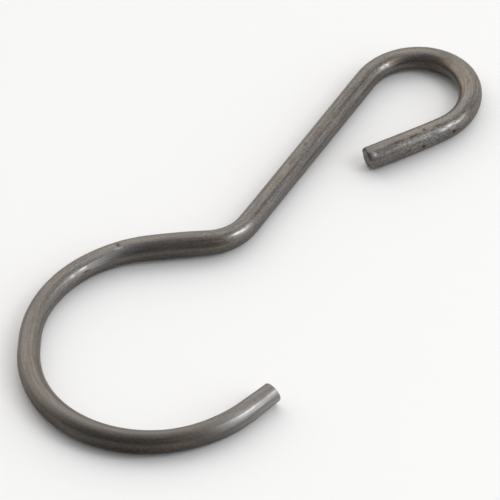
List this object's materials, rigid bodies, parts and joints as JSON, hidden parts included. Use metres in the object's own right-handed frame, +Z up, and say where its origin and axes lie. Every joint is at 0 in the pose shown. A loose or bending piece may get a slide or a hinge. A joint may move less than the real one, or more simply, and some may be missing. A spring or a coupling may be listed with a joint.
{
  "type": "electric fence tail hook",
  "caption": "Flat bent steel wire hook: a large open bow, a gooseneck and straight shank, and a small return bow, to hang a fence line on a rail, stake or eye.",
  "frame": {"origin": "on the axis of the large bow's main round, in the plane that the hook lies on", "axes": "+X along the shank from the large bow to the small bow, +Y to the closed side of the bows, +Z up"},
  "size_m": [0.132, 0.0608, 0.005],
  "materials": {
    "steel_wire": "plain drawn steel wire, satin, with die lines along it and slight brown and blue tints"
  },
  "bodies": {
    "root": {"tail_hook": "steel_wire"}
  },
  "joints": []
}
